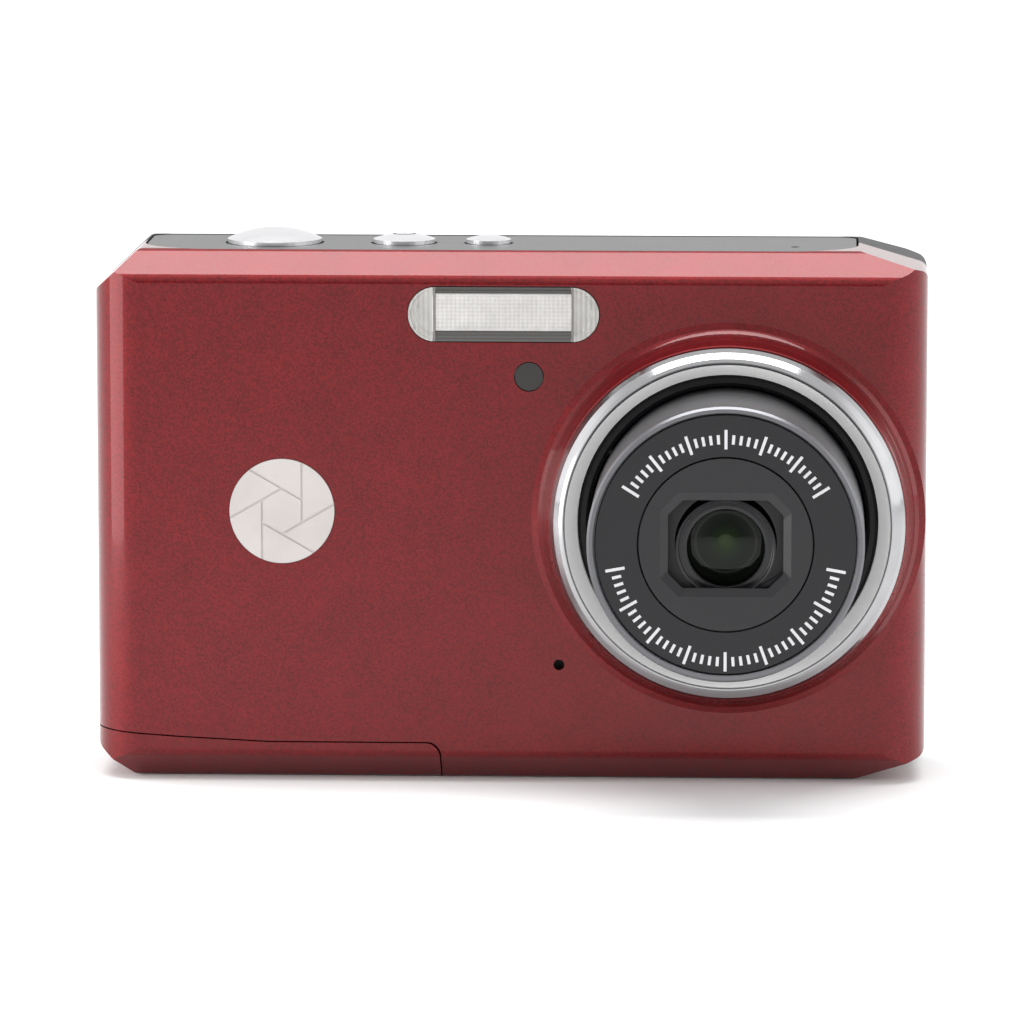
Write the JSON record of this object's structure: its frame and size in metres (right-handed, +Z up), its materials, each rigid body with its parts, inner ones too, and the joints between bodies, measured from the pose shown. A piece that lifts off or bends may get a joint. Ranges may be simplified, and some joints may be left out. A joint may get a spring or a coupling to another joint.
{
  "type": "compact digital camera",
  "caption": "Compact digital camera with an extending zoom lens, flash, top buttons, rear screen and keys, port flap, and a sliding hinged battery door.",
  "frame": {"origin": "on the base, halfway along the width and at the middle of the casing's thickness", "axes": "+X across the width towards the lens side, +Y from the lens towards the screen, +Z up from the base to the buttons"},
  "size_m": [0.092, 0.0436, 0.0605],
  "materials": {
    "red_paint": "metallic red paint under clear coat",
    "rear_shell": "fine satin grain, dark",
    "top_grey": "satin grey paint",
    "button_metal": "fine spun satin",
    "bright_trim": "satin plated",
    "seal_rubber": "matt",
    "barrel_metal": "dark anodised, fine turned",
    "name_ring_paint": "satin dark grey",
    "bezel_plastic": "satin dark",
    "blade_steel": "blackened",
    "black_plastic": "matt",
    "lens_glass": "coated",
    "clear_window": "polished",
    "reflector": "bright",
    "lamp_glass": "polished",
    "badge_grey": "satin",
    "steel": "bare",
    "brass": "bare",
    "cell_can": "printed sleeve without text",
    "contact_metal": "nickel plated",
    "board_green": "solder mask",
    "gear_plastic": "acetal",
    "sensor_ceramic": "matt with cover glass",
    "card_blue": "moulded",
    "capacitor_sleeve": "shrink sleeve",
    "screen_glass": "hard coated",
    "screen_panel": "panel",
    "key_plastic": "satin",
    "record_red": "satin",
    "lamp_green": "clear green",
    "rubber_cover": "satin"
  },
  "bodies": {
    "casing": {"front_cover": "red_paint", "rear_cover": "rear_shell", "top_cover": "top_grey", "battery_holder": "black_plastic", "battery_cells": "cell_can", "top_contacts": "contact_metal", "card_slot": "steel", "memory_card": "card_blue", "shutter_spring": "steel", "lens_trim_ring": "bright_trim", "barrel_seal": "seal_rubber", "lens_housing": "black_plastic", "zoom_motor": "steel", "image_sensor": "sensor_ceramic", "main_board": "board_green", "chassis": "steel", "tripod_socket": "steel", "flash_window": "clear_window", "flash_reflector": "reflector", "flash_tube": "clear_window", "flash_capacitor": "capacitor_sleeve", "focus_lamp_window": "lamp_glass", "sound_units": "steel", "badge": "badge_grey", "screen_window": "screen_glass", "screen_module": "screen_panel", "key_board": "board_green", "top_board": "board_green", "status_lamp": "lamp_green", "usb_connector": "steel", "strap_bar": "steel", "screws": "steel"},
    "door_pin": {"door_hinge_pin": "steel"},
    "door": {"battery_door": "red_paint", "door_contact": "contact_metal"},
    "shutter_button": {"shutter_button": "button_metal"},
    "power_button": {"power_button": "button_metal"},
    "scene_button": {"scene_button": "button_metal"},
    "barrel": {"zoom_barrel": "barrel_metal", "name_ring": "name_ring_paint", "lens_bezel": "bezel_plastic", "lens_cell": "black_plastic", "front_lens": "lens_glass"},
    "cam_ring": {"cam_ring": "black_plastic"},
    "idler_gear": {"idler_gear": "gear_plastic"},
    "motor_pinion": {"motor_pinion": "brass"},
    "upper_blade": {"upper_blade": "blade_steel"},
    "lower_blade": {"lower_blade": "blade_steel"},
    "zoom_group": {"zoom_cell": "black_plastic", "zoom_glass": "lens_glass"},
    "focus_group": {"focus_cell": "black_plastic", "focus_glass": "lens_glass"},
    "port_cover": {"port_cover": "rubber_cover"},
    "zoom_rocker": {"zoom_rocker": "key_plastic"},
    "direction_pad": {"direction_pad": "key_plastic"},
    "set_key": {"set_key": "key_plastic"},
    "record_key": {"record_key": "record_red"},
    "play_key": {"play_key": "key_plastic"},
    "menu_key": {"menu_key": "key_plastic"},
    "delete_key": {"delete_key": "key_plastic"}
  },
  "joints": [
    {"name": "door_slide", "type": "slide", "parent": "casing", "child": "door_pin", "axis": [-1, 0, 0], "range_m": [0, 0.0025]},
    {"name": "door_hinge", "type": "hinge", "parent": "door_pin", "child": "door", "pos_m": [-0.025, 0.0082, 0.0016], "axis": [1, 0, 0], "range_deg": [0, 90]},
    {"name": "shutter_press", "type": "slide", "parent": "casing", "child": "shutter_button", "axis": [0, 0, -1], "range_m": [0, 0.0005], "stiffness_N_per_m": 2000, "deforming": ["shutter_spring"]},
    {"name": "power_press", "type": "slide", "parent": "casing", "child": "power_button", "axis": [0, 0, -1], "range_m": [0, 0.00035], "stiffness_N_per_m": 1200},
    {"name": "scene_press", "type": "slide", "parent": "casing", "child": "scene_button", "axis": [0, 0, -1], "range_m": [0, 0.00035], "stiffness_N_per_m": 1200},
    {"name": "zoom_slide", "type": "slide", "parent": "casing", "child": "barrel", "axis": [0, 1, 0], "range_m": [0, 0.0136]},
    {"name": "cam_turn", "type": "hinge", "parent": "casing", "child": "cam_ring", "pos_m": [0.02415, 0, 0.02965], "axis": [0, -1, 0], "range_deg": [-1, 101]},
    {"name": "idler_turn", "type": "hinge", "parent": "casing", "child": "idler_gear", "pos_m": [0.00466, 0.0021, 0.02056], "axis": [0, -1, 0], "range_deg": [-440, 3]},
    {"name": "pinion_turn", "type": "hinge", "parent": "casing", "child": "motor_pinion", "pos_m": [0.00049, 0.0021, 0.01558], "axis": [0, -1, 0], "range_deg": [-3, 703]},
    {"name": "upper_blade_turn", "type": "hinge", "parent": "barrel", "child": "upper_blade", "pos_m": [0.01295, -0.0302, 0.02965], "axis": [0, 1, 0], "range_deg": [0, 32.01]},
    {"name": "lower_blade_turn", "type": "hinge", "parent": "barrel", "child": "lower_blade", "pos_m": [0.03535, -0.0298, 0.02965], "axis": [0, 1, 0], "range_deg": [0, 32.01]},
    {"name": "zoom_group_slide", "type": "slide", "parent": "casing", "child": "zoom_group", "axis": [0, 1, 0], "range_m": [0, 0.00681]},
    {"name": "focus_slide", "type": "slide", "parent": "casing", "child": "focus_group", "axis": [0, 1, 0], "range_m": [-0.0008, 0.0015]},
    {"name": "port_flap", "type": "hinge", "parent": "casing", "child": "port_cover", "pos_m": [0.046, 0.00605, 0.0245], "axis": [0, 1, 0], "range_deg": [0, 100]},
    {"name": "rocker_turn", "type": "hinge", "parent": "casing", "child": "zoom_rocker", "pos_m": [-0.0315, 0.00985, 0.0495], "axis": [0, 0, 1], "range_deg": [-2, 2], "stiffness_Nm_per_rad": 0.05},
    {"name": "pad_press", "type": "slide", "parent": "casing", "child": "direction_pad", "axis": [0, -1, 0], "range_m": [0, 0.0003], "stiffness_N_per_m": 1200},
    {"name": "set_press", "type": "slide", "parent": "casing", "child": "set_key", "axis": [0, -1, 0], "range_m": [0, 0.0003], "stiffness_N_per_m": 1200},
    {"name": "record_press", "type": "slide", "parent": "casing", "child": "record_key", "axis": [0, -1, 0], "range_m": [0, 0.0003], "stiffness_N_per_m": 1200},
    {"name": "play_press", "type": "slide", "parent": "casing", "child": "play_key", "axis": [0, -1, 0], "range_m": [0, 0.0003], "stiffness_N_per_m": 1200},
    {"name": "menu_press", "type": "slide", "parent": "casing", "child": "menu_key", "axis": [0, -1, 0], "range_m": [0, 0.0003], "stiffness_N_per_m": 1200},
    {"name": "delete_press", "type": "slide", "parent": "casing", "child": "delete_key", "axis": [0, -1, 0], "range_m": [0, 0.0003], "stiffness_N_per_m": 1200}
  ],
  "couplings": [
    {"joint": "cam_turn", "follows": "zoom_slide", "rad_per_m": 128.33},
    {"joint": "idler_turn", "follows": "zoom_slide", "rad_per_m": -561.46},
    {"joint": "pinion_turn", "follows": "zoom_slide", "rad_per_m": 898.33},
    {"joint": "upper_blade_turn", "follows": "zoom_slide", "rad_per_m": 41.067},
    {"joint": "lower_blade_turn", "follows": "zoom_slide", "rad_per_m": 41.067},
    {"joint": "zoom_group_slide", "follows": "zoom_slide", "ratio": 0.5}
  ]
}
